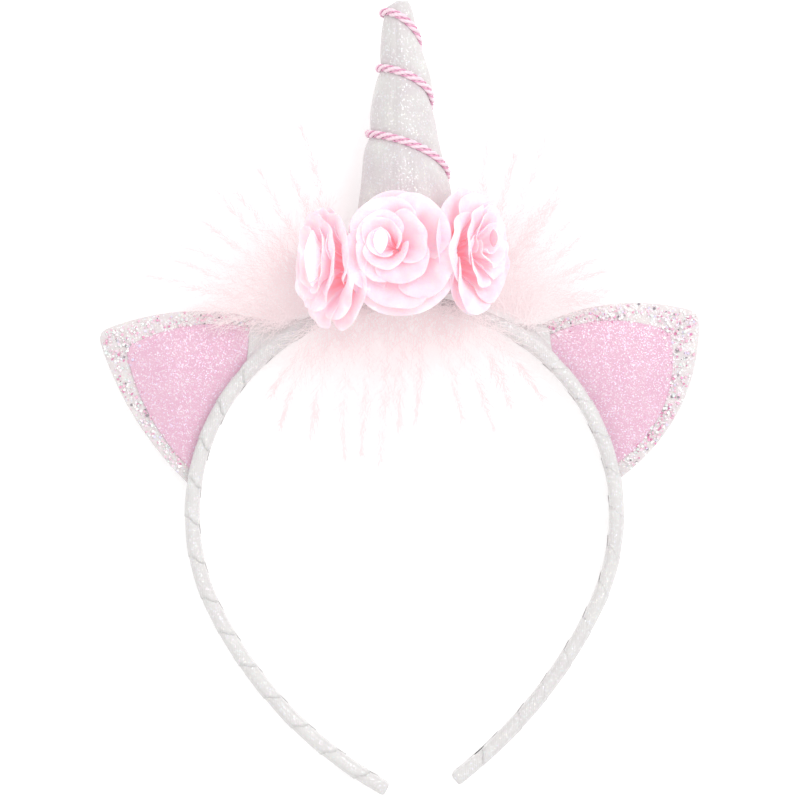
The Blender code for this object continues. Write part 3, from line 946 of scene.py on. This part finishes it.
roseSeat = {"middle": 91.5, "spacing": 1.5, "rimShare": 0.88, "above": 0.3 * mm}    # angles in degrees
roses = {
    # way round the horn from the middle rose, height above the horn's foot, sizes; eye and bud are in mm
    # budShading paints the bud's colour: a value below 0 paints a highlight on it, a high value paints shade
    "middle": {"way": 0, "above": 11.4 * mm, "radius": 15.8 * mm, "depth": 13.8 * mm, "turn": 0,
               "eye": (-5.6, 3.0), "stretch": 1.0, "bud": (2.1, 3.9), "budShading": -0.12},
    "left": {"way": 1, "above": 6.6 * mm, "radius": 15.5 * mm, "depth": 16.4 * mm, "turn": 64,
             "eye": (0.0, 3.0), "stretch": 1.55, "bud": (2.3, 8.2), "budShading": -0.12},
    "right": {"way": -1, "above": 10.6 * mm, "radius": 16.3 * mm, "depth": 15.8 * mm, "turn": 200,
              "eye": (0.0, 4.7), "stretch": 1.15, "bud": (1.2, 2.6), "budShading": 0.8},
}
# angle and span in degrees; radii at foot and rim and heights as shares of the rose's radius and depth;
# lap is how far one side steps out over the next petal, curl how far the rim rolls outwards
petalColumns = ("angle", "span", "foot", "rim", "low", "high", "lap", "curl")
petalRings = {
    "outer_petals": (
        (48, 124, 0.30, 0.95, 0.02, 0.76, 0.06, 0.10),
        (118, 118, 0.30, 0.90, 0.02, 0.80, 0.06, 0.10),
        (190, 116, 0.28, 0.92, 0.02, 0.76, 0.06, 0.10),
        (258, 122, 0.30, 0.94, 0.02, 0.72, 0.06, 0.11),
        (328, 120, 0.30, 0.94, 0.02, 0.76, 0.06, 0.10),
        # two broad petals spread low behind the others
        (80, 190, 0.34, 1.0, 0.0, 0.52, 0.04, 0.06),
        (270, 190, 0.34, 1.1, 0.0, 0.46, 0.04, 0.06),
    ),
    "inner_petals": (
        (20, 150, 0.05, 0.66, 0.16, 0.88, 0.07, 0.05),
        (122, 140, 0.05, 0.60, 0.18, 0.90, 0.06, 0.05),
        (215, 142, 0.05, 0.62, 0.20, 0.87, 0.07, 0.05),
        (300, 152, 0.05, 0.68, 0.22, 0.88, 0.08, 0.06),
    ),
    "heart": (
        (80, 215, 0.12, 0.40, 0.28, 0.96, 0.06, 0.03),
        (265, 205, 0.12, 0.44, 0.28, 0.93, 0.07, 0.03),
        (170, 270, 0.03, 0.27, 0.30, 0.92, 0.05, 0.0),
    ),
}
petalMake = {
    "across": 26,
    "along": 12,
    "cloth": 0.24 * mm,
    "flare": 1.55,
    "ruffle": 0.06,
    "roundness": 0.26,
    "rollStart": 0.68,                       # how far up a petal its rim starts to roll out
    "pleats": 4.5,                           # pleats across one petal's foot
    "pleat": 0.035,                          # how deep they go, as a share of the rose's radius
    "lean": (0.15, 0.65, 1.0),               # how far each ring follows the rose's eye
    "rimShading": 0.13,                         # how much painted shade a petal's rim takes for its colour
}
budMake = {"stations": 24, "around": 20, "crease": 0.10, "end": 0.02}


def roseReach(side):
    rose = roses[side]
    return atan2(rose["radius"], horn["radius"] + rose["depth"] * roseSeat["rimShare"])


def roseFrame(side):
    # where the rose sits on the horn, as a matrix whose Z is the way it faces
    rose = roses[side]
    angle = radians(roseSeat["middle"])
    angle += rose["way"] * (roseReach("middle") + roseReach(side) + radians(roseSeat["spacing"]))
    facing = Vector((cos(angle), 0, sin(angle)))
    upward = Vector((0, 1, 0))
    right = upward.cross(facing)
    turn = Matrix((right, upward, facing)).transposed()
    seat = hornPoint(rose["above"], angle, roseSeat["above"], False)
    return Matrix.Translation(seat) @ turn.to_4x4()


def pleatValue(u, v, seed):
    return unevenness(u * petalMake["pleats"] + seed, v * 0.8, seed)


def petalPoint(rose, petal, lean, u, v, seed):
    # a place on a cupped petal: u from -1 to 1 across it, v from 0 at its foot to 1 at its rim
    reach = v * (1 - petalMake["roundness"] * abs(u) ** 3)
    out = petal["foot"] + (petal["rim"] - petal["foot"]) * reach ** petalMake["flare"]
    out += petal["lap"] * u * (0.35 + 0.65 * v)
    rise = petal["low"] + (petal["high"] - petal["low"]) * reach ** 0.85
    roll = max(0.0, (reach - petalMake["rollStart"]) / (1 - petalMake["rollStart"])) ** 2
    out += petal["curl"] * roll
    rise -= petal["curl"] * 1.3 * roll ** 2
    spot = Vector((u * 1.6 + seed, v * 1.4, seed * 3.1))
    out += petalMake["ruffle"] * v * v * noise.noise(spot * 1.7)
    rise += petalMake["ruffle"] * 1.6 * v * v * noise.noise(spot * 2.3 + Vector((9, 2, 5)))
    out += petalMake["pleat"] * (1 - v) * pleatValue(u, v, seed)
    angle = radians(petal["angle"] + rose["turn"] + petal["span"] / 2 * u)
    x = out * rose["radius"] * cos(angle)
    y = out * rose["radius"] * sin(angle) * (1 + (rose["stretch"] - 1) * lean)
    return Vector((x, y, rise * rose["depth"])) + Vector((*rose["eye"], 0)) * mm * min(rise, 1.0) * lean


def addPetal(whole, foldShading, rose, petal, lean, seed):
    # one petal, with each vertex's painted shading, deeper with its depth in the rose: least at its rim,
    # about 1 in a pleat at its foot
    def place(u, v):
        return petalPoint(rose, petal, lean, 2 * u - 1, v, seed)

    mesh = meshFrom(clothGrid(petalMake["across"], petalMake["along"], place), "petal")
    first = len(whole.verts)
    whole.from_mesh(mesh)
    bpy.data.meshes.remove(mesh)
    whole.verts.ensure_lookup_table()
    for k in range(first, len(whole.verts)):
        row, column = divmod(k - first, petalMake["across"] + 1)
        u = 2 * column / petalMake["across"] - 1
        v = row / petalMake["along"]
        whole.verts[k][foldShading] = petalMake["rimShading"] + (1 - v) ** 1.1 * (0.75 + 0.8 * pleatValue(u, v, seed))


def makeRose(side, firstSeed):
    for ringIndex, (ring, rows) in enumerate(petalRings.items()):
        whole = bmesh.new()
        # each vertex carries a value of painted shading for the satin's colour
        foldShading = whole.verts.layers.float.new("foldShading")
        whole.loops.layers.uv.new("cloth")
        for index, row in enumerate(rows):
            petal = dict(zip(petalColumns, row))
            seed = 3.7 * index + 11.0 * ringIndex + firstSeed
            addPetal(whole, foldShading, roses[side], petal, petalMake["lean"][ringIndex], seed)
        whole.transform(roseFrame(side))
        node = "rose_" + side + "_" + ring
        piece = finishPiece(whole, node.replace("_petals", ""), "satin", node, smooth=0)
        piece.data.shade_smooth()            # petals are smooth all over
        addSolidify(piece, petalMake["cloth"])
        addSubdivision(piece)


def makeBud(side):
    # the small rolled bud in the rose's eye, pointed at both ends
    rose = roses[side]
    wide, long = (size * mm for size in rose["bud"])
    middle = Vector((*rose["eye"], 0)) * mm + Vector((0, 0, rose["depth"] - wide))
    stations = []
    for i in range(budMake["stations"] + 1):
        share = budMake["end"] + (1 - 2 * budMake["end"]) * i / budMake["stations"]
        radius = wide * sin(pi * share) ** 0.8
        ring = []
        for k in range(budMake["around"]):
            angle = 2 * pi * k / budMake["around"]
            crease = 1 + budMake["crease"] * unevenness(cos(angle) * 1.5, share * 2.0, sin(angle) * 1.5)
            ring.append(middle + Vector((radius * crease * cos(angle), long * (2 * share - 1),
                                         radius * crease * sin(angle))))
        stations.append(ring)
    bm = sweepLoop(stations)
    # the whole bud takes one value of painted shading: a painted highlight on the pale buds, painted shade
    # on the deep one
    foldShading = bm.verts.layers.float.new("foldShading")
    for vert in bm.verts:
        vert[foldShading] = rose["budShading"]
    bm.transform(roseFrame(side))
    finishPiece(bm, "rose_" + side + "_bud", "satin", smooth=80.0)


for side, seed in (("middle", 0.0), ("left", 50.0), ("right", 90.0)):
    makeRose(side, seed)
    makeBud(side)
print("roses folded")


# the feathers: soft plumes of fine barbs behind the roses

sprays = {
    # fluff: angles round the crown where it starts and ends, and 1 for outwards or -1 for inwards
    # plumes: root's angle round the crown, direction, length in millimetres, width as a share
    "left": {"level": 9.0 * mm, "radius": 64.4 * mm, "seed": 31, "fluff": (98.0, 124.0, 1.0), "plumes": (
        (107.0, 98, 50, 0.8), (107.5, 108, 38, 0.9), (108.5, 121, 42, 1.0), (110.0, 130, 40, 1.0),
        (111.0, 137, 43, 1.0), (112.0, 146, 40, 1.0), (113.0, 153, 41, 1.0), (114.5, 162, 42, 1.0),
        (115.5, 169, 46, 1.0), (117.0, 176, 31, 0.9), (116.0, 184, 24, 0.8),
    )},
    "right": {"level": 9.0 * mm, "radius": 64.4 * mm, "seed": 37, "fluff": (56.0, 82.0, 1.0), "plumes": (
        (73.0, 82, 46, 0.8), (72.5, 72, 42, 0.9), (72.0, 62, 54, 0.9), (70.5, 56, 40, 1.0),
        (69.5, 50, 36, 1.0), (68.0, 43, 32, 1.0), (67.0, 37, 31, 1.0), (66.0, 29, 31, 1.0),
        (65.0, 22, 31, 1.0), (63.5, 15, 30, 0.9), (62.5, 8, 27, 0.8),
    )},
    "lower": {"level": 12.8 * mm, "radius": 60.2 * mm, "seed": 41, "fluff": (66.0, 116.0, -1.0), "plumes": (
        (113.0, 232, 26, 0.8), (112.0, 244, 34, 1.0), (108.0, 254, 36, 1.0), (104.0, 262, 42, 1.0),
        (99.0, 266, 42, 1.0), (95.0, 270, 47, 1.0), (90.0, 268, 36, 1.0), (86.0, 272, 34, 1.0),
        (81.0, 280, 33, 1.0), (77.0, 288, 36, 1.0), (73.0, 298, 30, 1.0), (69.0, 308, 29, 1.0),
    )},
}
barb = {
    "points": 6,
    "root": 0.062 * mm,                      # radius at its root and at its tip
    "tip": 0.016 * mm,
    "length": 12.5 * mm,
    "flatness": 0.30,
    "onPlume": 340,                          # barbs on a plume of the full length
    "fullLength": 40,                        # in millimetres
    "quillPoints": 24,
    "quillBend": 0.22,                       # how far a plume's middle line turns, in radians
    "scatter": 1.3 * mm,                     # how far they start from the plume's middle line
    "opening": (6, 58),                      # how far they open from it, in degrees
    "fluff": 900,                            # loose barbs that fill a spray's root
    "fluffLength": (7 * mm, 20 * mm),
}


def strandMesh(paths, radii):
    # three-sided tapering strands as arrays of vertices and faces: paths is strands by points by 3
    count, steps, _ = paths.shape
    forward = np.gradient(paths, axis=1)
    forward /= np.linalg.norm(forward, axis=2, keepdims=True) + 1e-12
    helper = np.where(np.abs(forward[..., 2:3]) < 0.8, np.array((0, 0, 1.0)), np.array((1.0, 0, 0)))
    side = np.cross(forward, helper)
    side /= np.linalg.norm(side, axis=2, keepdims=True)
    other = np.cross(forward, side)
    corners = []
    for k in range(3):
        angle = 2 * pi * k / 3
        corners.append(paths + (side * cos(angle) + other * sin(angle)) * radii[..., None])
    verts = np.stack(corners, 2).reshape(-1, 3)
    strand = np.arange(count)[:, None] * steps * 3
    quads = []
    for i in range(steps - 1):
        for k in range(3):
            a = strand + i * 3 + k
            b = strand + i * 3 + (k + 1) % 3
            quads.append(np.concatenate([b, a, a + 3, b + 3], 1))
    ends = np.concatenate([strand + 2, strand + 1, strand], 1)
    last = strand + (steps - 1) * 3
    tips = np.concatenate([last, last + 1, last + 2], 1)
    return verts, np.concatenate(quads), np.concatenate([ends, tips])


def barbPaths(rng, starts, headings, sizes):
    # loose curling barbs, each from its start and heading, all nearly flat
    count = len(starts)
    s = np.linspace(0, 1, barb["points"])[None]
    curl = rng.normal(0, 0.55, count)[:, None]
    wave = rng.normal(0, 0.16, count)[:, None] * np.sin(s * 5 + rng.uniform(0, 6, count)[:, None])
    turned = headings[:, None] + curl * s + wave
    lift = rng.normal(0, 0.5, count)[:, None] * (1 - s) * barb["flatness"]
    stepLengths = (sizes / (barb["points"] - 1))[:, None, None]
    steps = np.stack([np.cos(turned), np.sin(turned), lift], 2) * stepLengths
    steps[:, 0] = 0
    return starts[:, None] + np.cumsum(steps, 1)


def plumeBarbs(rng, spray, root, lean, length, wide):
    start = np.array(tuple(onCrown(spray["radius"], root)))
    points = barb["quillPoints"]
    t = np.linspace(0, 1, points)
    turned = radians(lean) + rng.uniform(-barb["quillBend"], barb["quillBend"]) * t ** 1.5
    steps = np.stack([np.cos(turned), np.sin(turned), np.zeros(points)], 1) * length * mm / points
    middle = start + np.cumsum(steps, 0)
    count = int(barb["onPlume"] * length / barb["fullLength"])
    at = rng.uniform(0.0, 1.0, count) ** 0.9
    spots = np.stack([np.interp(at, t, middle[:, c]) for c in range(3)], 1)
    spots[:, :2] += rng.normal(0, barb["scatter"], (count, 2)) * (1.1 - at)[:, None]
    spots[:, 2] = spray["level"] + rng.normal(0, 0.7 * mm, count)
    side = rng.choice((-1.0, 1.0), count)
    opening = side * np.radians(rng.uniform(*barb["opening"], count)) * (1.1 - 0.6 * at)
    sizes = barb["length"] * wide * (1.0 - 0.4 * at) * rng.uniform(0.4, 1.35, count)
    return barbPaths(rng, spots, np.interp(at, t, turned) + opening, sizes)


def fluffBarbs(rng, spray):
    # loose barbs along the spray's root, fanned out from the crown or in from it
    low, high, way = spray["fluff"]
    count = barb["fluff"]
    angles = rng.uniform(low, high, count)
    starts = np.array([tuple(onCrown(spray["radius"], angle)) for angle in angles])
    starts[:, :2] += rng.normal(0, 1.2 * mm, (count, 2))
    starts[:, 2] = spray["level"] + rng.normal(0, 0.8 * mm, count)
    headings = np.radians(angles) + (0.0 if way > 0 else pi) + rng.normal(0, 0.75, count)
    return barbPaths(rng, starts, headings, rng.uniform(*barb["fluffLength"], count))


def makeSpray(side):
    spray = sprays[side]
    rng = np.random.default_rng(spray["seed"])
    paths = [plumeBarbs(rng, spray, *plume) for plume in spray["plumes"]]
    paths = np.concatenate(paths + [fluffBarbs(rng, spray)])
    radii = np.tile(np.linspace(barb["root"], barb["tip"], barb["points"]), (len(paths), 1))
    verts, quads, ends = strandMesh(paths, radii)
    mesh = bpy.data.meshes.new("down_" + side)
    mesh.from_pydata(verts.tolist(), [], quads.tolist() + ends.tolist())
    placePiece(mesh, "down_" + side, "down", "feathers_" + side, smooth=80.0)


for side in sprays:
    makeSpray(side)
print("feathers spread")


# floor, light and camera

view = {
    "width": 227.2 * mm,                        # what the photograph's frame spans
    "target": Vector((0.15 * mm, -0.5 * mm, 8 * mm)),
    "distance": 1.7,
    "sensor": 36.0,                             # in mm, as Blender counts it
}
lights = {
    # name: place, size, power, colour
    "keyLight": ((0.65, 0.5, 1.1), 1.1, 7.0, (1.0, 1.0, 1.0)),
    "fillLight": ((-0.8, -0.5, 1.0), 1.0, 1.5, (1.0, 0.98, 0.97)),
}
sky = {"colour": (1.0, 0.995, 0.99), "strength": 0.86}
floorMake = {"size": 2.0, "below": 0.05 * mm, "colour": (0.93, 0.93, 0.93), "glow": 0.25}


def makeFloor():
    bm = bmesh.new()
    bmesh.ops.create_grid(bm, x_segments=1, y_segments=1, size=floorMake["size"])
    bmesh.ops.translate(bm, verts=bm.verts, vec=(0, 0, -floorMake["below"]))
    floor = addObject("floor", meshFrom(bm, "floor"))
    floor.data.materials.append(newMaterial(
        "paleFloor", Base_Color=floorMake["colour"], Roughness=0.9, Specular_IOR_Level=0.1,
        Emission_Strength=floorMake["glow"], Emission_Color=(1.0, 1.0, 1.0)))


def addArea(name, place, size, power, colour):
    lamp = bpy.data.lights.new(name, "AREA")
    lamp.shape = "DISK"
    lamp.size = size
    lamp.energy = power
    lamp.color = colour
    light = addObject(name, lamp)
    light.location = place
    light.rotation_euler = (view["target"] - Vector(place)).to_track_quat("-Z", "Y").to_euler()


def setLight():
    world = bpy.data.worlds.new("softSky")
    world.use_nodes = True
    setNode(world.node_tree.nodes["Background"], {"Color": sky["colour"], "Strength": sky["strength"]})
    scene.world = world
    for name, settings in lights.items():
        addArea(name, *settings)
    scene.view_settings.view_transform = "Standard"


def setCamera():
    lens = bpy.data.cameras.new("camera")
    lens.sensor_width = view["sensor"]
    lens.lens = view["sensor"] * view["distance"] / view["width"]
    lens.clip_start = 0.01
    camera = addObject("camera", lens)
    camera.location = view["target"] + Vector((0, 0, view["distance"]))
    scene.camera = camera


makeFloor()
setLight()
setCamera()
print("floor, light and camera set")
